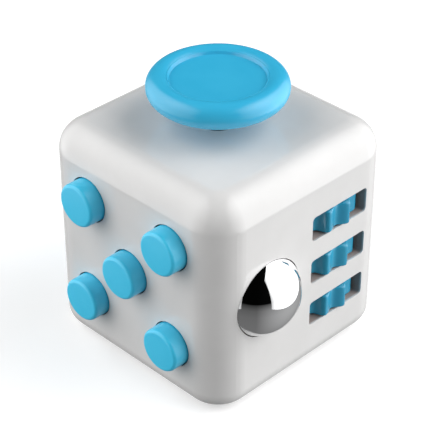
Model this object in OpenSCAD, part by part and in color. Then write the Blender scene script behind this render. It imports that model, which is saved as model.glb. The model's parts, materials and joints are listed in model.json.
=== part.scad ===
// Fidget cube: a 33 mm hand toy with a different moving control on each face.
// Frame: origin at the centre of the bottom face, +Z up, buttons on -Y,
// ball and wheels on +X, flip switch on +Y, spin dial on -X, joystick on top.

/* [Body] */
// Edge length of the cube
side = 33; // [33:0.5:34]
// Wall thickness of the shell
wall = 1.8; // [1.6:0.1:1.9]
// Radius of the four upright edges
corner_r = 5; // [4.6:0.1:5.2]
// Radius of the bottom edges
edge_r = 3.1; // [2.8:0.1:3.3]
// Radius of the top edges
top_edge_r = 4.4; // [3:0.1:4.5]

/* [Buttons] */
// Radius of a push button
button_r = 3.1; // [2.9:0.05:3.2]
// How far a button stands out of its face
button_out = 2.35; // [2:0.05:2.6]
// Sideways and upright distance from the centre button to the others
button_pitch = 7.75; // [7.5:0.05:7.9]
// Press depth of a button
button_travel = 1.2; // [0.8:0.1:1.2]

/* [Joystick] */
// Radius of the thumb disc to the middle of its round rim
rim_mid_r = 7.75; // [7:0.05:8]
// Radius of the round section of the rim
rim_r = 1.8; // [1.5:0.05:1.9]
// Height of the rim's middle above the top face
rim_height = 5.1; // [4.8:0.1:5.6]
// Radius of the hole the shaft comes through
stick_hole_r = 3.05; // [2.95:0.05:3.2]

/* [Wheels] */
// Radius of a thumb wheel over its lobes
wheel_r = 6.3; // [6:0.05:6.4]
// Number of lobes round a wheel
lobes = 11; // [10:1:12]
// Depth of the scallops between lobes
scallop = 0.95; // [0.7:0.05:1.1]
// Thickness of a wheel
wheel_t = 3.4; // [3:0.1:3.5]
// Distance from one wheel to the next
wheel_pitch = 6.92; // [6.8:0.02:7]

/* [Ball] */
// Radius of the steel ball
ball_r = 6; // [5.8:0.05:6.05]
// How far the ball stands out of its face
ball_out = 3.7; // [3.4:0.05:3.8]

/* [Dial and switch] */
// Radius of the spin dial
dial_r = 9.5; // [8:0.1:10]
// Thickness of the spin dial
dial_t = 3.45; // [2.6:0.05:3.6]
// Width of the flip switch
rocker_w = 8; // [7:0.1:8.2]
// Angle from the middle of the flip switch to either stop
rocker_tilt = 12; // [8:1:12]

/* [Hidden] */

half = side / 2;
inner = half - wall;
ceiling = side - wall;
// step under the rounded top edges that keeps the wall thick there
inner_step = 1.2;
fine = 96;
nudge = 0.02;

white = [0.92, 0.93, 0.94];
blue = [0.2, 0.68, 0.88];
steel = [0.75, 0.76, 0.78];
grey = [0.35, 0.36, 0.38];
clear_grey = [0.72, 0.72, 0.7];
brass = [0.72, 0.58, 0.32];

// buttons
button_z = half;
button_spots = [[-1, 1], [1, 1], [0, 0], [-1, -1], [1, -1]];
button_gap = 0.2;
flange_r = button_r + 0.75;
flange_t = 0.9;
flange_y = -inner + 0.08;
button_round = 0.65;
stem_end = flange_y + flange_t;
dome_top = stem_end + 0.05;
dome_h = button_travel + 0.3;
dome_wall = 0.5;
dome_base = 2.6;
dome_face = 1.7;
mat_t = 0.6;
mat_y = dome_top + dome_h;
plate_y = mat_y + mat_t;
plate_t = 1;
mat_half = 11.1;
retainer_posts = [[0, 8.9], [0, -9.2], [-9.6, 0]];

// joystick
pivot_z = side - 7;
rim_z = side + rim_height;
dish_r = 6.48;
ring_out = 4.2;
ring_in = 3.1;
ring_half = 0.9;
pin_r = 0.6;
run = 0.06;
cup_out = 5.5;
cup_in = 4.6;
cup_top = pivot_z + 1.6;
cup_low = pivot_z - 1.4;
ear_at = 7.4;
ear_angles = [90, 210, 330];
ear_z = pivot_z + 0.4;
seat_z = pivot_z + 2.2;
seat_t = 0.5;
shaft_r = 1.3;
shaft_top = rim_z - 0.4;
boss_r = 2.3;
boss_low = side + 2;

// wheels
wheel_y = 6.2;
crest_at = 11.4;
wheel_x = half + 0.65 - wheel_r * cos(crest_at);
wheel_mid_z = 15.7;
slot_h = 3.75;
slot_y = [0.95, 11.6];
axle_r = 1.2;
spine_y = wheel_y + wheel_r + 0.25;
spine_t = 1.3;
arm_half = 2.4;
arm_gap = 0.25;
arm_top = wheel_mid_z + wheel_pitch + wheel_t / 2 + arm_gap;
arm_low = wheel_mid_z - wheel_pitch - wheel_t / 2 - arm_gap;
arm_t = 2.2;
bracket_top = arm_top + arm_t;
head_sink = 0.9;
bracket_posts = [[12.2, -0.4], [12.2, 9.9]];

// ball
ball_y = -7.15;
ball_z = 16;
ball_x = half + ball_out - ball_r;
ball_gap = 0.1;
plunger_r = 2.3;
guide_in = plunger_r + 0.08;
guide_out = 3.1;
plunger_front = ball_x - 5.45;
plunger_back = plunger_front - 2;
guide_back = 3.2;
guide_posts = [[7.4, -8], [11.2, -8]];

// switch
rocker_y = 13.6;
rocker_z = half;
rocker_end = 6.8;
rocker_gap = 0.25;
rocker_pin_r = 0.7;
rocker_face = 4.25;
nub_reach = 4;
nub_r = 0.8;
leaf_y = rocker_y - nub_reach - nub_r - 0.55;
leaf_t = 0.2;
leaf_half = 8.9;
leaf_post = 8.2;

// dial
dial_x = -half - 0.25;
spindle_r = 1.5;
boss_x = -inner + 2.4;
clip_x = boss_x + 0.5;
clip_t = 0.5;
groove_r = 1.1;
spindle_sunk = 1.6;
dimple_at = 5.4;
dimple_r = 2.8;
dimple_off = 1.6;

// cover
cover_half = 12.1;
cover_gap = 0.15;
cover_t = 2.5;
cover_screw = 10;
post_top = 5.2;
worry_r = 9.4;
worry_depth = 2;
worry_pad = 3.6;

// a square with rounded corners, half size h and corner radius r
module soft_square(h, r) {
  square([2 * h, 2 * (h - r)], center = true);
  square([2 * (h - r), 2 * h], center = true);
  for (x = [-1, 1], y = [-1, 1])
    translate([x * (h - r), y * (h - r)]) circle(r = r, $fn = fine);
}

// child turned so that its +Z points along -Y, as on the button face
module facing_front() {
  rotate([90, 0, 0]) children();
}

// child turned so that its +Z points along +X
module facing_right() {
  rotate([0, 90, 0]) children();
}

// pan-head screw: head below z = 0, shank going up
module screw(head_r, head_t, shank_r, shank_l) {
  difference() {
    translate([0, 0, -head_t]) cylinder(r = head_r, h = head_t, $fn = fine);
    translate([-head_r * 0.6, -0.12, -head_t - nudge]) cube([head_r * 1.2, 0.24, head_t * 0.5]);
    translate([-0.12, -head_r * 0.6, -head_t - nudge]) cube([0.24, head_r * 1.2, head_t * 0.5]);
  }
  translate([0, 0, -nudge]) cylinder(r = shank_r, h = shank_l + nudge, $fn = fine);
}

// coil spring along +Z from z = 0, built as one solid of round rings and short links
module coil(mean_r, wire_r, height, turns) {
  step = (height - 2 * wire_r) / turns;
  for (i = [0:turns]) translate([0, 0, wire_r + i * step])
    rotate_extrude($fn = fine) translate([mean_r, 0]) circle(r = wire_r, $fn = 16);
  for (i = [0:turns - 1]) rotate([0, 0, i * 180]) translate([mean_r, 0, wire_r + i * step])
    cylinder(r = wire_r * 0.8, h = step, $fn = 16);
}

module outer_form() {
  mid = half - corner_r;
  hull() for (x = [-1, 1], y = [-1, 1], level = [[edge_r, edge_r], [side - top_edge_r, top_edge_r]])
    translate([x * mid, y * mid, level[0]]) rotate_extrude($fn = 64) intersection() {
      translate([corner_r - level[1], 0]) circle(r = level[1], $fn = 64);
      translate([0, -level[1]]) square([corner_r, 2 * level[1]]);
    }
}

module housing() {
  color(white) difference() {
    union() {
      difference() {
        outer_form();
        translate([0, 0, cover_t + 0.1]) linear_extrude(ceiling - cover_t - 0.1 - inner_step)
          soft_square(inner, corner_r - wall);
        translate([0, 0, half]) linear_extrude(ceiling - half)
          soft_square(inner - inner_step, corner_r - wall - inner_step);
        translate([0, 0, -nudge]) linear_extrude(cover_t + 1)
          soft_square(cover_half + cover_gap, 2.5);
      }
      cover_posts();
      button_posts();
      ceiling_posts();
      rocker_lugs();
      leaf_posts();
      translate([-inner - 0.5, 0, half]) facing_right()
        cylinder(r = 3.2, h = boss_x + inner + 0.5, $fn = fine);
    }
    button_holes();
    translate([0, 0, ceiling - 1]) cylinder(r = stick_hole_r, h = wall + 2, $fn = fine);
    translate([ball_x, ball_y, ball_z]) sphere(r = ball_r + ball_gap, $fn = fine);
    wheel_slots();
    wheel_relief();
    translate([-rocker_w / 2 - rocker_gap, rocker_y, rocker_z]) rotate([0, 90, 0])
      cylinder(r = rocker_end + rocker_gap, h = rocker_w + 2 * rocker_gap, $fn = fine);
    translate([-rocker_w / 2 - 3, rocker_y, rocker_z]) rotate([0, 90, 0])
      cylinder(r = rocker_pin_r, h = rocker_w + 6, $fn = fine);
    translate([-half - 1, 0, half]) facing_right()
      cylinder(r = spindle_r + run, h = wall + 5, $fn = fine);
  }
}

// corner blocks that take the cover screws
module cover_posts() {
  for (x = [-1, 1], y = [-1, 1]) difference() {
    union() {
      translate([x * cover_screw, y * cover_screw, cover_t + 0.1])
        cylinder(r = 1.8, h = post_top - cover_t - 0.1, $fn = fine);
      translate([x * (cover_screw + 2.4), y * (cover_screw + 2.4), (cover_t + 0.1 + post_top) / 2])
        cube([4.4, 4.4, post_top - cover_t - 0.1], center = true);
    }
    translate([x * cover_screw, y * cover_screw, cover_t - 1]) cylinder(r = 0.6, h = 8, $fn = fine);
  }
}

// posts behind the button face that carry the retainer
module button_posts() {
  for (p = retainer_posts) translate([p[0], plate_y, button_z + p[1]]) facing_front() difference() {
    cylinder(r = 1.5, h = inner + plate_y + 0.5, $fn = fine);
    translate([0, 0, -1]) cylinder(r = 0.5, h = 3.6, $fn = fine);
  }
}

// posts hanging from the ceiling for the joystick base, ball guide and wheel bracket
module ceiling_posts() {
  for (a = ear_angles) rotate([0, 0, a]) translate([ear_at, 0, 0]) hanging_post(ear_z + 1.2);
  for (p = concat(guide_posts, bracket_posts)) translate([p[0], p[1], 0]) hanging_post(bracket_top);
}

module hanging_post(low) {
  difference() {
    translate([0, 0, low]) cylinder(r = 1.4, h = ceiling - low + 0.5, $fn = fine);
    translate([0, 0, low - 1]) cylinder(r = 0.5, h = 4, $fn = fine);
  }
}

// two lugs inside the back wall that hold the ends of the switch pin
module rocker_lugs() {
  for (s = [-1, 1]) translate([s * (rocker_w / 2 + 1.05), 0, 0])
    translate([-0.75, rocker_y - 1.6, rocker_z - 2])
      cube([1.5, inner - rocker_y + 2.1, 4]);
}

// two posts inside the back wall whose slots hold the ends of the detent leaf
module leaf_posts() {
  for (s = [-1, 1]) difference() {
    translate([-2, leaf_y - 0.8, rocker_z + s * leaf_post - 0.6]) cube([4, inner - leaf_y + 1.3, 1.2]);
    translate([-1.6, leaf_y - 0.05, rocker_z + s * leaf_post - 1]) cube([3.2, leaf_t + 0.1, 2]);
  }
}

module button_holes() {
  for (p = button_spots) translate([p[0] * button_pitch, -inner + 0.5, button_z + p[1] * button_pitch])
    facing_front() cylinder(r = button_r + button_gap, h = wall + 1, $fn = fine);
}

module wheel_slots() {
  soft = 0.55;
  for (i = [-1:1]) translate([0, 0, wheel_mid_z + i * wheel_pitch - slot_h / 2]) {
    translate([inner - 1, slot_y[0] + soft, 0]) cube([wall + 2, slot_y[1] - slot_y[0] - 2 * soft, slot_h]);
    translate([inner - 1, slot_y[0], soft]) cube([wall + 2, slot_y[1] - slot_y[0], slot_h - 2 * soft]);
    for (y = [slot_y[0] + soft, slot_y[1] - soft], z = [soft, slot_h - soft])
      translate([inner - 1, y, z]) facing_right() cylinder(r = soft, h = wall + 2, $fn = fine);
  }
}

// round pockets that let the wheels turn past the inside of the wall
module wheel_relief() {
  for (i = [-1:1]) translate([wheel_x, wheel_y, wheel_mid_z + i * wheel_pitch - slot_h / 2]) difference() {
    cylinder(r = wheel_r + 0.3, h = slot_h, $fn = fine);
    translate([-20, -10, -1]) cube([20, 20, slot_h + 2]);
  }
}

module worry_stone_cover() {
  bowl_r = (pow(worry_r, 2) + pow(worry_depth, 2)) / (2 * worry_depth);
  color(white) difference() {
    union() {
      linear_extrude(cover_t) soft_square(cover_half, 2.4);
      cylinder(r = 8, h = worry_pad, $fn = fine);
    }
    translate([0, 0, worry_depth - bowl_r]) sphere(r = bowl_r, $fn = fine);
    for (x = [-1, 1], y = [-1, 1]) translate([x * cover_screw, y * cover_screw, -nudge]) {
      cylinder(r = 0.85, h = cover_t + 1, $fn = fine);
      cylinder(r = 1.6, h = 1.2 + nudge, $fn = fine);
    }
  }
}

module cover_screws() {
  color(steel) for (x = [-1, 1], y = [-1, 1])
    translate([x * cover_screw, y * cover_screw, 1.2]) screw(1.45, 0.9, 0.6, 3.2);
}

// push button: a cap with a rounded front edge, a flange behind the wall and a short stem
module push_button(p) {
  front = -half - button_out;
  long = flange_y - front;
  color(blue) translate([p[0] * button_pitch, flange_y, button_z + p[1] * button_pitch])
    facing_front() {
      rotate_extrude($fn = fine) {
        square([button_r - button_round, long]);
        square([button_r, long - button_round]);
        translate([button_r - button_round, long - button_round]) intersection() {
          circle(r = button_round, $fn = fine);
          square(button_round);
        }
      }
      translate([0, 0, -flange_t]) cylinder(r = flange_r, h = flange_t + 0.01, $fn = fine);
    }
}

module button_upper_left() { push_button(button_spots[0]); }
module button_upper_right() { push_button(button_spots[1]); }
module button_centre() { push_button(button_spots[2]); }
module button_lower_left() { push_button(button_spots[3]); }
module button_lower_right() { push_button(button_spots[4]); }

// outline shared by the silicone mat and its retainer, cut away round the ball
module sheet(y, t, post_hole) {
  translate([0, y, button_z]) facing_front() difference() {
    linear_extrude(t) soft_square(mat_half, 2);
    translate([ball_x, ball_z - button_z, -1]) cylinder(r = 6.4, h = t + 2, $fn = fine);
    for (p = retainer_posts) translate([p[0], p[1], -1]) cylinder(r = post_hole, h = t + 2, $fn = fine);
  }
}

module button_keypad() {
  color(clear_grey) {
    sheet_with_wells();
    for (p = button_spots)
      translate([p[0] * button_pitch, mat_y, button_z + p[1] * button_pitch]) facing_front()
        rotate_extrude($fn = fine) polygon([[dome_base, -nudge], [dome_face, dome_h], [0, dome_h],
          [0, dome_h - dome_wall], [dome_face - 0.4, dome_h - dome_wall], [dome_base - dome_wall, -nudge]]);
  }
}

module sheet_with_wells() {
  difference() {
    sheet(plate_y, mat_t, 1.7);
    for (p = button_spots)
      translate([p[0] * button_pitch, plate_y + 1, button_z + p[1] * button_pitch]) facing_front()
        cylinder(r = dome_base - dome_wall, h = mat_t + 1.5, $fn = fine);
  }
}

// shallow sprung metal domes under the three clicking buttons
module snap_domes() {
  dome = 1.9;
  rise = 0.5;
  big = (pow(dome, 2) + pow(rise, 2)) / (2 * rise);
  color(steel) for (i = [0, 2, 4])
    translate([button_spots[i][0] * button_pitch, plate_y, button_z + button_spots[i][1] * button_pitch])
      facing_front() intersection() {
        translate([0, 0, 0.01]) cylinder(r = dome, h = 2, $fn = fine);
        translate([0, 0, rise + 0.1 - big]) difference() {
          sphere(r = big, $fn = fine);
          sphere(r = big - 0.1, $fn = fine);
        }
      }
}

module button_retainer() {
  color(grey) sheet(plate_y + plate_t, plate_t, 0.7);
}

module retainer_screws() {
  color(steel) for (p = retainer_posts)
    translate([p[0], plate_y + plate_t, button_z + p[1]]) facing_front() screw(1.3, 0.7, 0.5, 3.4);
}

// thumb disc: round rim, shallow dish and a socket boss for the shaft
module joystick_cap() {
  floor_z = rim_z + 0.95;
  color(blue) difference() {
    union() {
      translate([0, 0, rim_z]) rotate_extrude($fn = fine)
        translate([rim_mid_r, 0]) circle(r = rim_r, $fn = fine);
      translate([0, 0, rim_z - 1.3]) cylinder(r = rim_mid_r, h = 2.25, $fn = fine);
      translate([0, 0, boss_low]) cylinder(r = boss_r, h = rim_z - boss_low, $fn = fine);
    }
    translate([0, 0, floor_z]) cylinder(r = dish_r, h = 2, $fn = fine);
    translate([0, 0, side]) cylinder(r = shaft_r, h = shaft_top - side, $fn = fine);
  }
}

module joystick_shaft() {
  color(grey) difference() {
    union() {
      translate([0, 0, pivot_z]) cylinder(r = shaft_r, h = shaft_top - pivot_z, $fn = fine);
      translate([0, 0, pivot_z - 1.1]) cylinder(r = 1.8, h = 2.2, $fn = fine);
      translate([0, 0, seat_z]) cylinder(r = 3.8, h = seat_t, $fn = fine);
    }
    translate([0, 3, pivot_z]) facing_front() cylinder(r = pin_r, h = 6, $fn = fine);
  }
}

module shaft_pin() {
  color(steel) translate([0, ring_out, pivot_z]) facing_front()
    cylinder(r = pin_r, h = 2 * ring_out, $fn = fine);
}

module gimbal_ring() {
  color(grey) difference() {
    translate([0, 0, pivot_z - ring_half]) cylinder(r = ring_out, h = 2 * ring_half, $fn = fine);
    translate([0, 0, pivot_z - 2]) cylinder(r = ring_in, h = 4, $fn = fine);
    translate([0, 6, pivot_z]) facing_front() cylinder(r = pin_r + run, h = 12, $fn = fine);
    translate([-6, 0, pivot_z]) facing_right() cylinder(r = pin_r + run, h = 12, $fn = fine);
  }
}

module gimbal_pins() {
  color(steel) for (s = [0, 180]) rotate([0, 0, s])
    translate([ring_in + 0.1, 0, pivot_z]) facing_right()
      cylinder(r = pin_r, h = cup_out - ring_in - 0.1, $fn = fine);
}

module joystick_base() {
  color(grey) difference() {
    union() {
      translate([0, 0, cup_low]) cylinder(r = cup_out, h = cup_top - cup_low, $fn = fine);
      for (a = ear_angles) rotate([0, 0, a]) translate([0, 0, ear_z]) {
        translate([ear_at, 0, 0]) cylinder(r = 1.6, h = 1.2, $fn = fine);
        translate([cup_in + 0.2, -1.6, 0]) cube([ear_at - cup_in - 0.2, 3.2, 1.2]);
      }
    }
    translate([0, 0, cup_low - 1]) cylinder(r = cup_in, h = 6, $fn = fine);
    translate([-8, 0, pivot_z]) facing_right() cylinder(r = pin_r, h = 16, $fn = fine);
    for (a = ear_angles) rotate([0, 0, a]) translate([ear_at, 0, ear_z - 1])
      cylinder(r = 0.7, h = 4, $fn = fine);
  }
}

module joystick_spring() {
  color(steel) translate([0, 0, seat_z + seat_t]) coil(3.45, 0.22, ceiling - seat_z - seat_t, 3);
}

module base_screws() {
  color(steel) for (a = ear_angles) rotate([0, 0, a]) translate([ear_at, 0, ear_z]) screw(1.3, 0.7, 0.5, 4);
}

module roller_ball() {
  color(steel) translate([ball_x, ball_y, ball_z]) sphere(r = ball_r, $fn = fine);
}

module ball_plunger() {
  color(clear_grey) difference() {
    union() {
      translate([plunger_back, ball_y, ball_z]) facing_right()
        cylinder(r = plunger_r, h = plunger_front - plunger_back, $fn = fine);
      translate([guide_back - 0.8, ball_y, ball_z]) facing_right()
        cylinder(r = 0.9, h = plunger_back - guide_back + 1, $fn = fine);
    }
    translate([ball_x, ball_y, ball_z]) sphere(r = ball_r + ball_gap, $fn = fine);
  }
}

module ball_spring() {
  color(steel) translate([guide_back + 1, ball_y, ball_z]) facing_right()
    coil(1.6, 0.25, plunger_back - guide_back - 1, 3);
}

// tube behind the ball with a closed back, hung from the ceiling by a web and a flange
module ball_guide() {
  color(grey) difference() {
    union() {
      translate([guide_back, ball_y, ball_z]) facing_right()
        cylinder(r = guide_out, h = plunger_back - guide_back + 0.8, $fn = fine);
      translate([guide_back, ball_y - 2.4, ball_z]) cube([1.4, 3.6, bracket_top - ball_z]);
      translate([guide_back, ball_y - 2.4, arm_top]) cube([9.6, 3.2, arm_t]);
    }
    translate([guide_back + 1, ball_y, ball_z]) facing_right()
      cylinder(r = guide_in, h = 8, $fn = fine);
    translate([guide_back - 1, ball_y, ball_z]) facing_right() cylinder(r = 0.9 + run, h = 4, $fn = fine);
    for (p = guide_posts) screw_hole(p);
  }
}

module guide_screws() {
  color(steel) for (p = guide_posts) translate([p[0], p[1], arm_top + head_sink]) screw(1.2, 0.7, 0.5, 3.9);
}

// through hole with a wide mouth below for the screw head
module screw_hole(p) {
  translate([p[0], p[1], arm_top - 1]) cylinder(r = 0.7, h = arm_t + 2, $fn = fine);
  translate([p[0], p[1], arm_top - 1]) cylinder(r = 1.3, h = 1 + head_sink, $fn = fine);
}

// lobed wheel outline: lobes with round tips and wide hollows between them
function lobe_radius(a) = wheel_r - scallop * pow(1 - pow(cos(a * lobes / 2), 2), 0.8);
wheel_points = [for (i = [0:lobes * 16 - 1]) let (a = i * 360 / (lobes * 16))
  lobe_radius(a - crest_at) * [cos(a), sin(a)]];

module thumb_wheel(level) {
  color(blue) translate([wheel_x, wheel_y, wheel_mid_z + level * wheel_pitch - wheel_t / 2])
    difference() {
      linear_extrude(wheel_t) polygon(wheel_points);
      translate([0, 0, -1]) cylinder(r = axle_r + run, h = wheel_t + 2, $fn = fine);
    }
}

module upper_wheel() { thumb_wheel(1); }
module middle_wheel() { thumb_wheel(0); }
module lower_wheel() { thumb_wheel(-1); }

module wheel_axle() {
  color(steel) translate([wheel_x, wheel_y, arm_low - 1.4])
    cylinder(r = axle_r, h = arm_top - arm_low + 2.8, $fn = fine);
}

// comb-shaped bracket: a spine behind the wheels and four arms that hold the axle
module wheel_bracket() {
  between = wheel_pitch - wheel_t - 2 * arm_gap;
  color(grey) difference() {
    union() {
      translate([wheel_x - 4.4, spine_y, arm_low - 1.5])
        cube([5.8, spine_t, bracket_top - arm_low + 1.5]);
      arm(arm_low - 1.5, 1.5);
      arm(arm_top, arm_t);
      for (i = [0, 1]) arm(wheel_mid_z - wheel_pitch + wheel_t / 2 + arm_gap + i * wheel_pitch, between);
      translate([bracket_posts[0][0] - 1.5, bracket_posts[0][1] - 1.5, arm_top])
        cube([3, bracket_posts[1][1] - bracket_posts[0][1] + 3, arm_t]);
    }
    translate([wheel_x, wheel_y, 0]) cylinder(r = axle_r, h = side, $fn = fine);
    for (p = bracket_posts) screw_hole(p);
  }
}

module arm(z, t) {
  translate([wheel_x - arm_half, wheel_y, z]) cube([2 * arm_half, spine_y - wheel_y + 0.5, t]);
  translate([wheel_x, wheel_y, z]) cylinder(r = arm_half, h = t, $fn = fine);
}

module bracket_screws() {
  color(steel) for (p = bracket_posts)
    translate([p[0], p[1], arm_top + head_sink]) screw(1.2, 0.7, 0.5, 3.9);
}

// everything that rocks with the switch, drawn in its middle position
module at_rest_tilt() {
  translate([0, rocker_y, rocker_z]) rotate([-rocker_tilt, 0, 0]) children();
}

module rocker_switch() {
  dip = 16;
  color(blue) at_rest_tilt() difference() {
    intersection() {
      translate([-rocker_w / 2, 0, 0]) facing_right() cylinder(r = rocker_end, h = rocker_w, $fn = fine);
      translate([-rocker_w / 2, -1.6, -rocker_end]) cube([rocker_w, rocker_face + 1.6, 2 * rocker_end]);
    }
    translate([-rocker_w, rocker_face + dip - 1, 0]) facing_right()
      cylinder(r = dip, h = 2 * rocker_w, $fn = fine);
    translate([-rocker_w, 0, 0]) facing_right()
      cylinder(r = rocker_pin_r + run, h = 2 * rocker_w, $fn = fine);
  }
  color(blue) at_rest_tilt() {
    translate([-1, -nub_reach, -nub_r]) cube([2, nub_reach - 1.5, 2 * nub_r]);
    translate([-1, -nub_reach, 0]) facing_right() cylinder(r = nub_r, h = 2, $fn = fine);
  }
}

module rocker_pin() {
  long = rocker_w + 3.4;
  color(steel) translate([-long / 2, rocker_y, rocker_z]) facing_right()
    cylinder(r = rocker_pin_r, h = long, $fn = fine);
}

// sprung strip with a hump in the middle that the tail of the switch snaps over
function leaf_line(z) = 0.55 * exp(-pow(z / 0.5, 2));
leaf_zs = [for (i = [-20:20]) sign(i) * leaf_half * pow(abs(i) / 20, 2)];
leaf_outline = concat([for (z = leaf_zs) [leaf_line(z), z]],
  [for (i = [40:-1:0]) [leaf_line(leaf_zs[i]) + leaf_t, leaf_zs[i]]]);

module detent_spring() {
  color(steel) translate([-1.5, leaf_y, rocker_z]) rotate([90, 0, 90])
    linear_extrude(3) polygon(leaf_outline);
}

// dial with a rounded rim and one finger dimple, its axis along X
module spin_dial() {
  rim = 1.1;
  color(blue) difference() {
    translate([dial_x, 0, half]) rotate([0, -90, 0]) rotate_extrude($fn = fine) {
      square([dial_r - rim, dial_t]);
      square([dial_r, dial_t - rim]);
      translate([dial_r - rim, dial_t - rim]) intersection() {
        circle(r = rim, $fn = fine);
        square(rim);
      }
    }
    translate([dial_x - dial_t - dimple_off, 0, half + dimple_at]) sphere(r = dimple_r, $fn = fine);
    translate([dial_x - spindle_sunk, 0, half]) facing_right() cylinder(r = spindle_r, h = 3, $fn = fine);
  }
}

module dial_spindle() {
  color(steel) difference() {
    translate([dial_x - spindle_sunk, 0, half]) facing_right()
      cylinder(r = spindle_r, h = clip_x + clip_t + 0.8 - dial_x + spindle_sunk, $fn = fine);
    translate([clip_x, 0, half]) facing_right() difference() {
      cylinder(r = spindle_r + 1, h = clip_t, $fn = fine);
      translate([0, 0, -1]) cylinder(r = groove_r, h = clip_t + 2, $fn = fine);
    }
  }
}

module dial_washer() {
  color(brass) translate([boss_x + 0.02, 0, half]) facing_right() difference() {
    cylinder(r = 3, h = 0.4, $fn = fine);
    translate([0, 0, -1]) cylinder(r = spindle_r + run, h = 3, $fn = fine);
  }
}

// open ring snapped into the groove of the spindle
module dial_clip() {
  color(steel) translate([clip_x + 0.03, 0, half]) facing_right() difference() {
    cylinder(r = 2.6, h = clip_t - 0.06, $fn = fine);
    translate([0, 0, -1]) cylinder(r = groove_r + 0.02, h = 3, $fn = fine);
    translate([-0.9, 0, -1]) cube([1.8, 4, 3]);
  }
}

housing();
worry_stone_cover();
cover_screws();
button_upper_left();
button_upper_right();
button_centre();
button_lower_left();
button_lower_right();
button_keypad();
snap_domes();
button_retainer();
retainer_screws();
joystick_cap();
joystick_shaft();
shaft_pin();
gimbal_ring();
gimbal_pins();
joystick_base();
joystick_spring();
base_screws();
roller_ball();
ball_plunger();
ball_spring();
ball_guide();
guide_screws();
upper_wheel();
middle_wheel();
lower_wheel();
wheel_axle();
wheel_bracket();
bracket_screws();
rocker_switch();
rocker_pin();
detent_spring();
spin_dial();
dial_spindle();
dial_washer();
dial_clip();
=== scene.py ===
"""Looks of a fidget cube: a white glossy hand toy with blue controls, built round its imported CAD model.

Every new piece is a surface worked out with numpy, either a profile turned about an axis or loops joined
into a closed skin. The other CAD nodes are copied, merged and given rounded edges.
"""
import json
import math

import bmesh
import bpy
import numpy as np
from mathutils import Matrix, Vector


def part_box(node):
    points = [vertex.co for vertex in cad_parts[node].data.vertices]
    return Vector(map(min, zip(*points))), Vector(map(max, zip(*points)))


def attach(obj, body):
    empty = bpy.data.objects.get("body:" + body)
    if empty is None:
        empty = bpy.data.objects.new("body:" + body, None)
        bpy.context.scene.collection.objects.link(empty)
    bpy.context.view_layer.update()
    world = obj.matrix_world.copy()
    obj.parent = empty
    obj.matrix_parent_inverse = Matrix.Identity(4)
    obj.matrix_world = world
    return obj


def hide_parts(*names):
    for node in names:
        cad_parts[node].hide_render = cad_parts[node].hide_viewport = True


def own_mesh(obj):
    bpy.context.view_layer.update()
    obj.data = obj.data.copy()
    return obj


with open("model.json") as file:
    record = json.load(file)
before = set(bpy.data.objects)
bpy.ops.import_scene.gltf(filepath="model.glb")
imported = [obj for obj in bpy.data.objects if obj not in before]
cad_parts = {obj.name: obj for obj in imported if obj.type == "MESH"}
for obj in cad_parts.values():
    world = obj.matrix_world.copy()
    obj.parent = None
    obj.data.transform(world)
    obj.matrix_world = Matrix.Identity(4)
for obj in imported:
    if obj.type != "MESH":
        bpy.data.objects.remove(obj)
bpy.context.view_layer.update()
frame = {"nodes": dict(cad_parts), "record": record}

MM = 0.001
TAU = 2 * math.pi
BODY_OF = {n: b for b, nodes in frame["record"]["behaviour"]["bodies"].items() for n in nodes}
SLOT_OF = {s["node"]: s["material_slot"] for s in frame["record"]["subparts"]}


def middle(node):
    """The centre of a CAD node's box, in millimetres."""
    low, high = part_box(node)
    return np.array((low + high) / 2) / MM


def low(node):
    """The lowest corner of a CAD node's box, in millimetres."""
    return np.array(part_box(node)[0]) / MM


def high(node):
    """The highest corner of a CAD node's box, in millimetres."""
    return np.array(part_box(node)[1]) / MM


# ---------------------------------------------------------------- finishes


def finish(name, colour, roughness, metallic=0.0, coat=0.0, coat_roughness=0.1, sheen=0.0, subsurface=0.0):
    """A Principled material with its even values set on the shader's own sockets."""
    mat = bpy.data.materials.new(name)
    mat.use_nodes = True
    shader = mat.node_tree.nodes["Principled BSDF"]
    shader.inputs["Base Color"].default_value = (*colour, 1)
    shader.inputs["Roughness"].default_value = roughness
    shader.inputs["Metallic"].default_value = metallic
    shader.inputs["Coat Weight"].default_value = coat
    shader.inputs["Coat Roughness"].default_value = coat_roughness
    shader.inputs["Sheen Weight"].default_value = sheen
    if subsurface:
        shader.inputs["Subsurface Weight"].default_value = subsurface
        shader.inputs["Subsurface Radius"].default_value = (0.0006, 0.0006, 0.0006)
        shader.inputs["Subsurface Scale"].default_value = 1.0
    return mat


def grain(mat, scale, detail=4.0, stretch=(1, 1, 1)):
    """Noise on Object coordinates, scale in features per metre; stretch squeezes it along an axis."""
    nodes, links = mat.node_tree.nodes, mat.node_tree.links
    place = nodes.new("ShaderNodeTexCoord")
    turn = nodes.new("ShaderNodeMapping")
    turn.inputs["Scale"].default_value = stretch
    noise = nodes.new("ShaderNodeTexNoise")
    noise.inputs["Scale"].default_value = scale
    noise.inputs["Detail"].default_value = detail
    links.new(place.outputs["Object"], turn.inputs["Vector"])
    links.new(turn.outputs["Vector"], noise.inputs["Vector"])
    return noise.outputs["Fac"]


def spread(mat, fac, low_value, high_value, start=0.3, end=0.7):
    """Maps what fac does from start to end onto low_value to high_value."""
    node = mat.node_tree.nodes.new("ShaderNodeMapRange")
    for key, value in (("From Min", start), ("From Max", end), ("To Min", low_value), ("To Max", high_value)):
        node.inputs[key].default_value = value
    mat.node_tree.links.new(fac, node.inputs["Value"])
    return node.outputs["Result"]


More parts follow.
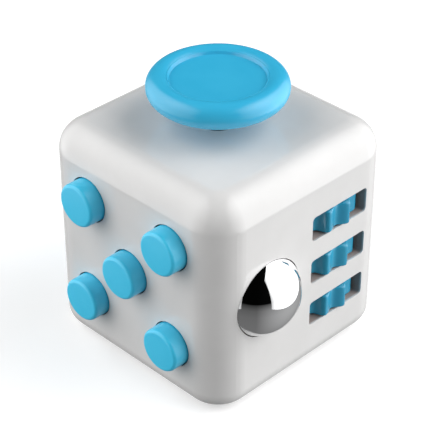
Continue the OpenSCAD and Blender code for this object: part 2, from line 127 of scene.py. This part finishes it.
def tint(mat, fac, colour_a, colour_b, start=0.35, end=0.65):
    """Two close colours blended by a pattern, into the base colour."""
    ramp = mat.node_tree.nodes.new("ShaderNodeValToRGB")
    ramp.color_ramp.elements[0].position, ramp.color_ramp.elements[1].position = start, end
    ramp.color_ramp.elements[0].color = (*colour_a, 1)
    ramp.color_ramp.elements[1].color = (*colour_b, 1)
    shader = mat.node_tree.nodes["Principled BSDF"]
    mat.node_tree.links.new(fac, ramp.inputs["Fac"])
    mat.node_tree.links.new(ramp.outputs["Color"], shader.inputs["Base Color"])


def added(tree, first, second):
    """The sum of two patterns."""
    add = tree.nodes.new("ShaderNodeMath")
    add.operation = "ADD"
    tree.links.new(first, add.inputs[0])
    tree.links.new(second, add.inputs[1])
    return add.outputs["Value"]


def relief(mat, heights, depth):
    """Adds surface relief: the patterns are summed and depth is their height in metres."""
    nodes, links = mat.node_tree.nodes, mat.node_tree.links
    total = heights[0]
    for other in heights[1:]:
        total = added(mat.node_tree, total, other)
    bump = nodes.new("ShaderNodeBump")
    bump.inputs["Strength"].default_value = 1.0
    bump.inputs["Distance"].default_value = depth
    links.new(total, bump.inputs["Height"])
    links.new(bump.outputs["Normal"], nodes["Principled BSDF"].inputs["Normal"])


def set_roughness(mat, fac):
    """Drives the material's roughness by a pattern."""
    mat.node_tree.links.new(fac, mat.node_tree.nodes["Principled BSDF"].inputs["Roughness"])


def blend(tree, fac, under, over, colour=False):
    """under where fac is 0 and over where it is 1; each is a node output or an even value."""
    step = tree.nodes.new("ShaderNodeMix")
    step.data_type = "RGBA" if colour else "FLOAT"
    for key, value in (("Factor", fac), ("A", under), ("B", over)):
        if isinstance(value, bpy.types.NodeSocket):
            tree.links.new(value, step.inputs[key])
        else:
            step.inputs[key].default_value = value
    return step.outputs["Result"]


def outer_skin(mat):
    """A mask that is 1 on the outside of the cube and 0 on the faces inside its openings. The distance from
    a box with rounded edges is the length of max(|p - middle| - (half - corner_r), 0), less corner_r. The
    mask falls from 1 to 0 between skin_top and skin_low below the skin."""
    half, corner_r, skin_top, skin_low = 0.0165, 0.005, 0.00012, 0.00035

    def vector(operation, first, value):
        step = mat.node_tree.nodes.new("ShaderNodeVectorMath")
        step.operation = operation
        mat.node_tree.links.new(first, step.inputs[0])
        step.inputs[1].default_value = value
        return step.outputs["Value" if operation == "LENGTH" else "Vector"]

    place = mat.node_tree.nodes.new("ShaderNodeTexCoord").outputs["Object"]
    place = vector("ABSOLUTE", vector("SUBTRACT", place, (0, 0, half)), (0, 0, 0))
    place = vector("MAXIMUM", vector("SUBTRACT", place, (half - corner_r,) * 3), (0, 0, 0))
    return spread(mat, vector("LENGTH", place, (0, 0, 0)), 0, 1, corner_r - skin_low, corner_r - skin_top)


def white_shell_finish():
    """Polished white ABS: faint orange peel, hairline scuffs from handling and slightly uneven gloss. The
    faces inside its openings carry painted shade, a darker brownish grey standing in for the shade in the
    recesses, and are matt."""
    # painted shade: a darker brownish grey for the faces inside the openings, in place of the shade that
    # falls in the recesses
    painted_recess_shade, matt = (0.42, 0.33, 0.3, 1), 0.6
    mat = finish("polished_white_abs", (0.72, 0.72, 0.722), 0.06, subsurface=0.04)
    tree = mat.node_tree
    tint(mat, grain(mat, 160, 3), (0.71, 0.705, 0.7), (0.74, 0.735, 0.73))
    outer = outer_skin(mat)
    base = tree.nodes["Principled BSDF"].inputs["Base Color"]
    # painted shade is blended in where the mask falls to 0, on the faces inside the openings
    tree.links.new(blend(tree, outer, painted_recess_shade, base.links[0].from_socket, colour=True), base)
    scuffs = spread(mat, grain(mat, 900, 2, (0.2, 1, 1.6)), 0, 0.06, 0.62, 0.75)
    gloss = spread(mat, grain(mat, 420, 4), 0.045, 0.075)
    set_roughness(mat, blend(tree, outer, matt, added(tree, gloss, scuffs)))
    relief(mat, [grain(mat, 700, 2)], 0.0000015)
    return mat


def blue_finish(name, colour_a, colour_b, rough, depth):
    """Sky-blue moulded plastic: fine spark-eroded texture, uneven gloss and a trace of colour drift."""
    mat = finish(name, colour_a, rough, coat=0.12, coat_roughness=0.2, subsurface=0.03)
    tint(mat, grain(mat, 220, 3), colour_a, colour_b)
    set_roughness(mat, spread(mat, grain(mat, 1500, 3), rough - 0.05, rough + 0.07))
    relief(mat, [grain(mat, 5200, 3), spread(mat, grain(mat, 500, 2), 0, 0.6)], depth)
    return mat


def chrome_finish():
    """Polished steel ball: mirror with very fine rolling marks."""
    mat = finish("mirror_chrome", (0.93, 0.935, 0.945), 0.03, metallic=1.0)
    marks = spread(mat, grain(mat, 1400, 3, (1, 0.12, 1)), 0.018, 0.06, 0.5, 0.85)
    set_roughness(mat, marks)
    relief(mat, [grain(mat, 900, 2)], 0.0000003)
    return mat


def steel_finish():
    """Drawn spring steel: lengthwise brushing and small stains."""
    mat = finish("drawn_steel", (0.56, 0.57, 0.58), 0.32, metallic=1.0)
    tint(mat, grain(mat, 900, 4), (0.5, 0.51, 0.52), (0.62, 0.63, 0.64))
    set_roughness(mat, spread(mat, grain(mat, 2600, 3, (1, 1, 0.15)), 0.22, 0.42))
    relief(mat, [grain(mat, 6000, 2, (1, 1, 0.1))], 0.0000012)
    return mat


def plain_plastic_finish(name, colour_a, colour_b, rough):
    """Unpolished moulding for inner pieces: mould texture and faint flow clouds."""
    mat = finish(name, colour_a, rough)
    tint(mat, grain(mat, 260, 4), colour_a, colour_b)
    set_roughness(mat, spread(mat, grain(mat, 1800, 3), rough - 0.08, rough + 0.08))
    relief(mat, [grain(mat, 4200, 4)], 0.000008)
    return mat


def silicone_finish():
    """Translucent grey silicone rubber with a dusty sheen."""
    mat = finish("keypad_silicone", (0.5, 0.51, 0.51), 0.55, sheen=0.3, subsurface=0.2)
    tint(mat, grain(mat, 300, 4), (0.46, 0.47, 0.475), (0.55, 0.555, 0.55))
    set_roughness(mat, spread(mat, grain(mat, 2400, 3), 0.48, 0.66))
    relief(mat, [grain(mat, 3500, 3)], 0.000005)
    return mat


def brass_finish():
    """Rolled brass sheet: streaks along the rolling direction and light tarnish."""
    mat = finish("brass_sheet", (0.72, 0.52, 0.24), 0.3, metallic=1.0)
    tint(mat, grain(mat, 700, 4), (0.66, 0.46, 0.2), (0.76, 0.57, 0.28))
    set_roughness(mat, spread(mat, grain(mat, 2600, 3, (1, 0.2, 1)), 0.22, 0.42))
    relief(mat, [grain(mat, 5200, 2, (1, 0.1, 1))], 0.0000012)
    return mat


def floor_finish():
    """Pale paper sweep with a barely visible tooth."""
    mat = finish("pale_paper", (0.86, 0.86, 0.86), 0.7)
    shader = mat.node_tree.nodes["Principled BSDF"]
    shader.inputs["Emission Color"].default_value = (1, 1, 1, 1)
    shader.inputs["Emission Strength"].default_value = 0.33
    tint(mat, grain(mat, 40, 3), (0.855, 0.855, 0.855), (0.87, 0.87, 0.87))
    relief(mat, [grain(mat, 900, 3)], 0.00002)
    return mat


FINISHES = {
    "white_shell": white_shell_finish(),
    "blue_control": blue_finish("satin_blue", (0.05, 0.6, 0.9), (0.06, 0.62, 0.92), 0.33, 0.000006),
    "chrome_ball": chrome_finish(),
    "steel": steel_finish(),
    "dark_plastic": plain_plastic_finish(
        "graphite_acetal", (0.03, 0.032, 0.036), (0.045, 0.047, 0.052), 0.45),
    "nylon": plain_plastic_finish("natural_nylon", (0.66, 0.65, 0.6), (0.72, 0.71, 0.67), 0.42),
    "silicone": silicone_finish(),
    "brass_washer": brass_finish(),
}
GLOSS_BLUE = blue_finish("gloss_blue", (0.042, 0.46, 0.735), (0.048, 0.48, 0.755), 0.2, 0.0000025)
# painted shade: a darker copy of the blue plastic for the thumb wheels, standing in for the shade they sit in
# inside their slots
SHADED_WHEEL_BLUE = blue_finish("wheel_blue_painted_shade", (0.027, 0.31, 0.5), (0.032, 0.34, 0.53), 0.14, 0.0000015)


# ---------------------------------------------------------------- shapes


def softened(corners, radii, steps=8):
    """A profile with rounded corners: each corner point is swapped for an arc that meets both of its sides.
    Its points are centre + (sin((1 - t) * sweep) * start + sin(t * sweep) * end) / sin(sweep), where start
    and end run from the centre to the two tangent points."""
    corners = np.asarray(corners, float)
    out = [corners[0]]
    for i in range(1, len(corners) - 1):
        a, c, b = corners[i - 1], corners[i], corners[i + 1]
        to_a, to_b = (a - c) / np.linalg.norm(a - c), (b - c) / np.linalg.norm(b - c)
        half_angle = math.acos(np.clip(to_a @ to_b, -1, 1)) / 2
        radius = radii[i - 1]
        reach = radius / math.tan(half_angle)
        centre = c + (to_a + to_b) / np.linalg.norm(to_a + to_b) * radius / math.sin(half_angle)
        start, end = c + to_a * reach - centre, c + to_b * reach - centre
        t = np.linspace(0, 1, steps + 1)[:, None]
        sweep = math.acos(np.clip(start @ end / radius**2, -1, 1))
        out.extend(centre + (np.sin((1 - t) * sweep) * start + np.sin(t * sweep) * end) / math.sin(sweep))
    out.append(corners[-1])
    return np.array(out)


def weave(rows, columns, wrap_rows=False):
    """Quads of a grid of points whose columns run round and close on themselves; the rows may close too."""
    last = rows if wrap_rows else rows - 1
    i, j = np.meshgrid(np.arange(last), np.arange(columns), indexing="ij")
    i, j, up, side = i.ravel(), j.ravel(), (i.ravel() + 1) % rows, (j.ravel() + 1) % columns
    return np.stack([i * columns + j, i * columns + side, up * columns + side, up * columns + j], -1)


def skin(name, points, quads, material, body):
    """Puts points (in millimetres) and quads into a mesh, closes its poles and seams and rides it on a
    body."""
    mesh = bpy.data.meshes.new(name)
    mesh.from_pydata((np.asarray(points).reshape(-1, 3) * MM).tolist(), [], np.asarray(quads).tolist())
    shape = bmesh.new()
    shape.from_mesh(mesh)
    bmesh.ops.remove_doubles(shape, verts=shape.verts, dist=1e-8)
    bmesh.ops.dissolve_degenerate(shape, edges=shape.edges, dist=1e-8)
    bmesh.ops.recalc_face_normals(shape, faces=shape.faces)
    shape.to_mesh(mesh)
    shape.free()
    mesh.shade_smooth()
    mesh.set_sharp_from_angle(angle=math.radians(38))
    mesh.materials.append(material)
    piece = bpy.data.objects.new(name, mesh)
    bpy.context.scene.collection.objects.link(piece)
    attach(piece, body)
    return piece


def across(axis):
    """Two unit vectors square to axis and to each other, right-handed with it."""
    axis = np.asarray(axis, float)
    helper = np.array([0, 0, 1.0]) if abs(axis[2]) < 0.9 else np.array([1.0, 0, 0])
    u = np.cross(helper, axis)
    u /= np.linalg.norm(u)
    return u, np.cross(axis, u)


def turned_points(profile, foot, axis, count):
    """A profile of (radius, height) pairs turned about the axis through foot: foot + height * axis
    + radius * (cos a * u + sin a * v), for count angles a."""
    u, v = across(axis)
    angle = np.arange(count) * TAU / count
    ring = np.cos(angle)[:, None] * u + np.sin(angle)[:, None] * v
    profile = np.asarray(profile, float)
    return np.asarray(foot) + profile[:, 0, None, None] * ring + (profile[:, 1, None] * axis)[:, None, :]


def turned(name, profile, foot, axis, material, body, count=144, ring=False):
    """A turned piece. With ring set the profile is a closed loop that stays off the axis."""
    points = turned_points(profile, foot, np.asarray(axis, float), count)
    return skin(name, points, weave(len(profile), count, ring), material, body)


def stands_for(piece, *nodes):
    """Hides the CAD nodes that the piece stands for."""
    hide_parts(*nodes)


def eased_copy(node, edge, limit=32, segments=3):
    """The CAD node's own shape, merged and with its flat facets joined, its sharp edges rounded by edge
    millimetres, and shading that follows its large faces."""
    mesh = frame["nodes"][node].data.copy()
    mesh.name = node + "_eased"
    shape = bmesh.new()
    shape.from_mesh(mesh)
    bmesh.ops.remove_doubles(shape, verts=shape.verts, dist=2e-6)
    bmesh.ops.dissolve_limit(shape, angle_limit=math.radians(0.4), verts=shape.verts, edges=shape.edges)
    shape.to_mesh(mesh)
    shape.free()
    mesh.shade_smooth()
    mesh.set_sharp_from_angle(angle=math.radians(limit))
    mesh.materials.clear()
    mesh.materials.append(FINISHES[SLOT_OF[node]])
    piece = bpy.data.objects.new(node + "_eased", mesh)
    bpy.context.scene.collection.objects.link(piece)
    if edge:
        soften = piece.modifiers.new("rounded edges", "BEVEL")
        soften.width = edge * MM
        soften.segments = segments
        soften.limit_method = "ANGLE"
        soften.angle_limit = math.radians(limit)
        soften.harden_normals = True
        soften.use_clamp_overlap = True
    even = piece.modifiers.new("even shading", "WEIGHTED_NORMAL")
    even.keep_sharp = True
    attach(piece, BODY_OF[node])
    stands_for(piece, node)
    return piece


def helix(name, foot, axis, mean_r, wire_r, height, turns, material, body):
    """A coil spring: a round wire section carried along a helix whose two end turns lie flat.
    Height rises as the eased share of the way along, so the first and last half turns close up."""
    u, v = across(axis)
    axis = np.asarray(axis, float)
    along = np.linspace(0, 1, int(turns * 48))
    flat = 0.5 / turns
    rise = np.clip((along - flat) / (1 - 2 * flat), 0, 1)
    climb = wire_r + rise * (height - 2 * wire_r)
    angle = along * turns * TAU
    out = np.cos(angle)[:, None] * u + np.sin(angle)[:, None] * v
    path = np.asarray(foot) + mean_r * out + climb[:, None] * axis
    section = np.arange(12) * TAU / 12
    tube = path[:, None] + wire_r * (np.cos(section)[None, :, None] * out[:, None]
                                     + np.sin(section)[None, :, None] * axis)
    tips = np.stack([path[0], path[-1]])[:, None] + np.zeros((2, 12, 3))
    points = np.concatenate([tips[:1], tube, tips[1:]])
    return skin(name, points, weave(len(points), 12), material, body)


# ---------------------------------------------------------------- shell and cover

eased_copy("housing", 0.16, limit=30)
eased_copy("worry_stone_cover", 0.14, limit=24)

# ---------------------------------------------------------------- push buttons

BUTTONS = ["upper_left", "upper_right", "centre", "lower_left", "lower_right"]
FLANGE_STEP, FLANGE_T = 0.75, 0.9
DRAFT = 0.03
for spot in BUTTONS:
    node = "button_" + spot
    near, far, centre = low(node), high(node), middle(node)
    flange_r, length = (far[0] - near[0]) / 2, far[1] - near[1]
    cap_r = flange_r - FLANGE_STEP
    corners = [(0, 0), (flange_r, 0), (flange_r, FLANGE_T), (cap_r + DRAFT, FLANGE_T), (cap_r, length - 0.02),
               (0, length)]
    profile = softened(corners, [0.15, 0.15, 0.12, 0.48], 10)
    button = turned("push_" + spot, profile, (centre[0], far[1], centre[2]), (0, -1, 0),
                    FINISHES["blue_control"], BODY_OF[node])
    stands_for(button, node)

# silicone mat, with each sprung dome a piece of its own
MAT_T, DOME_HEIGHT = 0.6, 1.5
mat_back = high("button_keypad")[1]
mat_front = mat_back - MAT_T
eased_copy("button_retainer", 0.08)


def mat_sheet():
    """The flat of the mat: the CAD keypad without its domes, cut off just in front of the sheet."""
    mesh = frame["nodes"]["button_keypad"].data.copy()
    shape = bmesh.new()
    shape.from_mesh(mesh)
    bmesh.ops.remove_doubles(shape, verts=shape.verts, dist=2e-6)
    cut = (mat_front - 0.005) * MM
    bmesh.ops.bisect_plane(shape, geom=shape.verts[:] + shape.edges[:] + shape.faces[:], dist=1e-8,
                           plane_co=(0, cut, 0), plane_no=(0, -1, 0), clear_outer=True)
    bmesh.ops.holes_fill(shape, edges=[e for e in shape.edges if e.is_boundary], sides=0)
    bmesh.ops.recalc_face_normals(shape, faces=shape.faces)
    shape.to_mesh(mesh)
    shape.free()
    mesh.shade_smooth()
    mesh.set_sharp_from_angle(angle=math.radians(30))
    mesh.materials.clear()
    mesh.materials.append(FINISHES["silicone"])
    piece = bpy.data.objects.new("keypad_sheet", mesh)
    bpy.context.scene.collection.objects.link(piece)
    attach(piece, "cube")
    stands_for(piece, "button_keypad")
    return piece


mat_sheet()
for spot in BUTTONS:
    centre = middle("button_" + spot)
    foot = (centre[0], mat_front, centre[2])
    wall = softened([(2.62, 0), (1.72, DOME_HEIGHT), (0, DOME_HEIGHT)], [0.3])
    inside = softened([(0, DOME_HEIGHT - 0.5), (1.3, DOME_HEIGHT - 0.5), (2.12, 0)], [0.2])
    loop = np.concatenate([wall, inside])
    dome = turned("dome_" + spot, loop, foot, (0, -1, 0), FINISHES["silicone"], "cube", 96, ring=True)
    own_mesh(dome)

CLICKER_R, CLICKER_RISE = 1.9, 0.5
for spot in ("upper_left", "centre", "lower_right"):
    centre = middle("button_" + spot)
    r = np.linspace(0, CLICKER_R, 14)
    rise = CLICKER_RISE * (1 - (r / CLICKER_R) ** 2)
    loop = np.concatenate([np.stack([r, rise + 0.1], -1)[::-1], np.stack([r, rise + 0.01], -1)])
    clicker = turned("clicker_" + spot, loop[::-1], (centre[0], mat_back, centre[2]), (0, -1, 0),
                     FINISHES["steel"], "cube", 72, ring=True)
    if spot == "upper_left":
        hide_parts("snap_domes")

# ---------------------------------------------------------------- joystick

RIM_R, RIM_MID = 1.8, 7.75
rim_z = high("joystick_cap")[2] - RIM_R


def joystick_profile():
    """Half section of the thumb disc: socket boss, flat underside, the round rim as an arc of radius RIM_R
    about (RIM_MID, rim_z), a small rounded lip, a short slope and a shallow dished floor."""
    underside, boss_r, boss_z = rim_z - 1.3, 2.3, low("joystick_cap")[2]
    start = -math.pi + math.asin(1.3 / RIM_R)
    lip = math.pi - math.acos(1.0 / RIM_R)
    arc = np.linspace(start, lip, 48)
    rim = np.stack([RIM_MID + RIM_R * np.cos(arc), rim_z + RIM_R * np.sin(arc)], -1)
    neck = softened([(0, boss_z), (boss_r, boss_z), (boss_r, underside), tuple(rim[0])], [0.3, 0.5])
    lip_r, lip_z = rim[-1]
    floor_r, floor_z = lip_r - 0.34, lip_z - 0.42
    corners = [tuple(rim[-1]), (lip_r - 0.12, lip_z + 0.05), (floor_r, floor_z),
               (floor_r - 1.2, floor_z - 0.03)]
    slope = softened(corners, [0.1, 0.12], 6)
    r = np.linspace(floor_r - 1.5, 0, 16)
    floor = np.stack([r, floor_z - 0.035 - 0.14 * (1 - (r / (floor_r - 1.2)) ** 2)], -1)
    return np.concatenate([neck[:-1], rim, slope[1:], floor])


disc = turned("thumb_disc", joystick_profile(), (0, 0, 0), (0, 0, 1), GLOSS_BLUE, "joystick", 192)
stands_for(disc, "joystick_cap")
eased_copy("joystick_shaft", 0.08)
seat_z, roof_z = low("joystick_spring")[2], high("joystick_spring")[2]
coil = helix("joystick_coil", (0, 0, seat_z), (0, 0, 1), 3.42, 0.22, roof_z - seat_z, 3.5,
             FINISHES["steel"], "cube")
stands_for(coil, "joystick_spring")

# ---------------------------------------------------------------- ball

ball_at = middle("roller_ball")
ball_r = (high("roller_ball")[2] - low("roller_ball")[2]) / 2
sweep = np.linspace(-math.pi / 2, math.pi / 2, 97)
half_round = np.stack([ball_r * np.cos(sweep), ball_r * np.sin(sweep)], -1)
ball = turned("chrome_ball", half_round, ball_at, (0, 1, 0), FINISHES["chrome_ball"], "ball", 192)
stands_for(ball, "roller_ball")
spring_low, spring_high = low("ball_spring"), high("ball_spring")
coil = helix("ball_coil", (spring_low[0], ball_at[1], ball_at[2]), (1, 0, 0), 1.55, 0.25,
             spring_high[0] - spring_low[0], 3.5, FINISHES["steel"], "cube")
stands_for(coil, "ball_spring")
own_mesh(coil)

# ---------------------------------------------------------------- thumb wheels

LOBES, SCALLOP, TIP_R, BORE_R, CREST_AT = 11, 0.95, 6.3, 1.26, math.radians(11.4)
AXLE = middle("wheel_axle")


def lobe_radius(angle):
    """Tip radius less the scallop depth times sin squared of half the lobe angle, raised to 0.8, so the lobes
    come out narrow and the hollows between them wide."""
    return TIP_R - SCALLOP * (np.sin(angle * LOBES / 2) ** 2) ** 0.8


def thumb_wheel(node, name):
    """Loops from the bore over the lower face, round the lobed edge and back over the upper face. Each edge
    loop is the lobed outline drawn in by e * (1 - cos a) and moved e * sin a, which rounds the two rims."""
    base, top = low(node)[2], high(node)[2]
    angle = np.arange(LOBES * 36) * TAU / (LOBES * 36)
    edge = 0.28
    outline = lobe_radius(angle - CREST_AT)
    bend = np.linspace(0, math.pi / 2, 6)
    rows = [(BORE_R + 0 * angle, base), (0.5 * outline + 1, base)]
    rows += [(outline - edge * (1 - math.sin(b)), base + edge * (1 - math.cos(b))) for b in bend]
    rows += [(outline - edge * (1 - math.cos(b)), top - edge * (1 - math.sin(b))) for b in bend]
    rows += [(0.5 * outline + 1, top), (BORE_R + 0 * angle, top)]
    points = np.array([np.stack([AXLE[0] + r * np.cos(angle), AXLE[1] + r * np.sin(angle), z + 0 * angle], -1)
                       for r, z in rows])
    # the wheels take the darker blue that carries painted shade
    piece = skin(name, points, weave(len(rows), len(angle), True), SHADED_WHEEL_BLUE, BODY_OF[node])
    stands_for(piece, node)


for spot in ("upper", "middle", "lower"):
    thumb_wheel(spot + "_wheel", spot + "_thumb_wheel")

# ---------------------------------------------------------------- switch and dial

eased_copy("rocker_switch", 0.3, limit=24, segments=4)

DIAL_R = (high("spin_dial")[1] - low("spin_dial")[1]) / 2
dial_back, dial_front = high("spin_dial")[0], low("spin_dial")[0]
DIAL_T = dial_back - dial_front


def dial_points(count=192):
    """The dial as loops about the X axis. Its face falls slightly towards the middle, and a finger dimple is
    sunk into it: depth times (1 - (d / size) squared) to the power 1.5, where d is the distance from it."""
    edge, dimple_at, dimple_r, dimple_depth = 1.05, 5.4, 2.5, 1.25
    corners = [(0, 0), (DIAL_R - 0.15, 0), (DIAL_R, 0.6), (DIAL_R, DIAL_T), (0, DIAL_T)]
    side = softened(corners, [0.3, 0.3, edge], 12)[:-1]
    r = np.linspace(DIAL_R - edge, 0, 72)[1:]
    face = np.stack([r, DIAL_T - 0.35 * (1 - (r / (DIAL_R - edge)) ** 2) ** 2], -1)
    profile = np.concatenate([side, face])
    angle = np.arange(count) * TAU / count
    y = profile[:, 0, None] * np.sin(angle)
    z = profile[:, 0, None] * np.cos(angle)
    h = profile[:, 1, None] + 0 * angle
    off = np.hypot(y, z - dimple_at) / dimple_r
    on_face = (off < 1) & (h > DIAL_T - 0.6)
    sunk = np.where(on_face, dimple_depth * (1 - np.clip(off, 0, 1) ** 2) ** 1.5, 0)
    centre = middle("dial_spindle")
    return np.stack([dial_back - (h - sunk), centre[1] + y, centre[2] + z], -1)


dial_grid = dial_points()
dial = skin("spinning_dial", dial_grid, weave(*dial_grid.shape[:2]), GLOSS_BLUE, "dial")
stands_for(dial, "spin_dial")

# ---------------------------------------------------------------- everything else keeps its CAD shape

for node in ("cover_screws", "retainer_screws", "base_screws", "guide_screws", "bracket_screws"):
    eased_copy(node, 0.05, segments=2)
for node in ("joystick_base", "gimbal_ring", "ball_guide", "ball_plunger", "wheel_bracket", "wheel_axle",
             "rocker_pin", "gimbal_pins", "shaft_pin", "dial_spindle", "dial_washer", "dial_clip"):
    eased_copy(node, 0.06, segments=2)
eased_copy("detent_spring", 0)

# ---------------------------------------------------------------- floor, lights and camera

CENTRE = Vector((0, 0, 0.0165))
AZIMUTH, ELEVATION, DISTANCE = math.radians(44.96), math.radians(34.54), 0.22396
BACK = Vector((math.sin(AZIMUTH) * math.cos(ELEVATION), -math.cos(AZIMUTH) * math.cos(ELEVATION),
               math.sin(ELEVATION)))
RIGHT = Vector((math.cos(AZIMUTH), math.sin(AZIMUTH), 0))
DEEP = Vector((-math.sin(AZIMUTH), math.cos(AZIMUTH), 0))


def pale_floor(size=4.0, count=9):
    """A flat square grid just under the cube, lit a little from below like a light table. Only the camera
    sees it, so that the chrome and the gloss keep the calm grey surroundings of the world."""
    side = np.linspace(-size, size, count)
    x, y = np.meshgrid(side, side, indexing="ij")
    points = np.stack([x, y, 0 * x - 0.00002], -1).reshape(-1, 3)
    i, j = np.meshgrid(np.arange(count - 1), np.arange(count - 1), indexing="ij")
    i, j = i.ravel(), j.ravel()
    quads = np.stack([i * count + j, (i + 1) * count + j, (i + 1) * count + j + 1, i * count + j + 1], -1)
    mesh = bpy.data.meshes.new("pale_floor")
    mesh.from_pydata(points.tolist(), [], quads.tolist())
    mesh.materials.append(floor_finish())
    floor = bpy.data.objects.new("pale_floor", mesh)
    bpy.context.scene.collection.objects.link(floor)
    floor.visible_diffuse = floor.visible_glossy = floor.visible_shadow = False


def share_of_face(nodes, links, along, amount):
    """1 - amount * |2 * along - 1|, as nodes."""
    steps = (("MULTIPLY_ADD", 2.0, -1.0), ("ABSOLUTE", 0.0, 0.0), ("MULTIPLY_ADD", -amount, 1.0))
    for operation, times, plus in steps:
        step = nodes.new("ShaderNodeMath")
        step.operation = operation
        step.inputs[1].default_value, step.inputs[2].default_value = times, plus
        links.new(along, step.inputs[0])
        along = step.outputs["Value"]
    return along


def softbox(name, place, facing, up, size, radiance, fade=(0, 0)):
    """An oblong area light at place whose face points along facing and whose height runs along up.
    Power = radiance * area * pi, so the same radiance looks equally bright at any size. It is brightest in
    the middle: strength = (1 - fade_x * |2u - 1|) * (1 - fade_y * |2v - 1|) over the face's u and v."""
    lamp = bpy.data.lights.new(name, "AREA")
    lamp.shape = "RECTANGLE"
    lamp.size, lamp.size_y = size
    lamp.energy = radiance * size[0] * size[1] * math.pi
    if any(fade):
        lamp.use_nodes = True
        nodes, links = lamp.node_tree.nodes, lamp.node_tree.links
        split = nodes.new("ShaderNodeSeparateXYZ")
        links.new(nodes.new("ShaderNodeNewGeometry").outputs["Parametric"], split.inputs["Vector"])
        shares = [share_of_face(nodes, links, split.outputs[axis], amount)
                  for axis, amount in zip("XY", fade)]
        whole = nodes.new("ShaderNodeMath")
        whole.operation = "MULTIPLY"
        links.new(shares[0], whole.inputs[0])
        links.new(shares[1], whole.inputs[1])
        links.new(whole.outputs["Value"], nodes["Emission"].inputs["Strength"])
    holder = bpy.data.objects.new(name, lamp)
    across_it = Vector(up).cross(-Vector(facing)).normalized()
    turn = Matrix((across_it, Vector(up).normalized(), -Vector(facing).normalized())).transposed()
    holder.matrix_world = Matrix.Translation(place) @ turn.to_4x4()
    bpy.context.scene.collection.objects.link(holder)
    return holder


def surroundings(sky, ground, right_gain, seen):
    """World light: a dim even sky over a grey ground that fades out towards the horizon and is brighter on
    the right, and a pale backdrop behind the cube, which the camera sees everywhere and grazing gloss sees
    round the cube's outline."""
    world = bpy.context.scene.world or bpy.data.worlds.new("studio")
    bpy.context.scene.world = world
    world.use_nodes = True
    nodes, links = world.node_tree.nodes, world.node_tree.links
    look = nodes.new("ShaderNodeTexCoord").outputs["Generated"]
    split = nodes.new("ShaderNodeSeparateXYZ")
    links.new(look, split.inputs["Vector"])
    fade = nodes.new("ShaderNodeValToRGB")
    stops = fade.color_ramp.elements
    stops[0].position, stops[0].color = 0.0, (sky, sky, sky, 1)
    stops[1].position, stops[1].color = 1.0, (ground, ground, ground, 1)
    for position, share in ((0.03, 0.2), (0.14, 0.42), (0.3, 0.7), (0.6, 0.9)):
        stops.new(position).color = (ground * share, ground * share, ground * share, 1)
    links.new(spread(world, split.outputs["Z"], 0.0, 1.0, 0.0, -1.0), fade.inputs["Fac"])

    def towards(direction):
        """How far the look goes along direction, from -1 to 1."""
        step = nodes.new("ShaderNodeVectorMath")
        step.operation = "DOT_PRODUCT"
        step.inputs[1].default_value = direction
        links.new(look, step.inputs[0])
        return step.outputs["Value"]

    leaning = nodes.new("ShaderNodeVectorMath")
    leaning.operation = "SCALE"
    links.new(fade.outputs["Color"], leaning.inputs[0])
    links.new(spread(world, towards(RIGHT), 1.0, right_gain, 0.0, 1.0), leaning.inputs["Scale"])
    backdrop = (seen, seen, seen, 1)
    behind = spread(world, towards(-BACK), 0.0, 1.0, 0.84, 0.98)
    behind.node.interpolation_type = "SMOOTHSTEP"
    lit = blend(world.node_tree, behind, leaning.outputs["Vector"], backdrop, colour=True)
    direct = nodes.new("ShaderNodeLightPath").outputs["Is Camera Ray"]
    picked = blend(world.node_tree, direct, lit, backdrop, colour=True)
    links.new(picked, nodes["Background"].inputs["Color"])


def camera_at(place, focal, shift):
    """The camera, looking back along BACK."""
    lens = bpy.data.cameras.new("camera")
    lens.sensor_width, lens.lens = 36, focal
    lens.shift_x, lens.shift_y = shift
    lens.clip_start, lens.clip_end = 0.01, 20
    camera = bpy.data.objects.new("camera", lens)
    camera.location = place
    camera.rotation_euler = (-BACK).to_track_quat("-Z", "Y").to_euler()
    bpy.context.scene.collection.objects.link(camera)
    bpy.context.scene.camera = camera


UP = (0, 0, 1)
PANEL_SIZE, PANEL_OFF, PANEL_Z = (0.9, 0.953), 0.31, 0.34
lift = Vector((0, 0, PANEL_Z - CENTRE.z))
pale_floor()
softbox("right_panel", CENTRE + RIGHT * PANEL_OFF + lift, -RIGHT, UP, PANEL_SIZE, 4.1, (0.8, 0.5))
softbox("left_panel", CENTRE - RIGHT * PANEL_OFF + lift, RIGHT, UP, PANEL_SIZE, 3.1, (0.75, 0.5))
fill = softbox("front_fill", CENTRE - DEEP * 0.9 + Vector((0, 0, 0.1)), DEEP, UP, (0.5, 0.5), 0.5)
fill.visible_glossy = False
surroundings(sky=0.001, ground=0.155, right_gain=3.4, seen=0.9)
camera_at(CENTRE + BACK * DISTANCE, 130.37, (0.0134, -0.0053))
bpy.context.scene.view_settings.view_transform = "Standard"
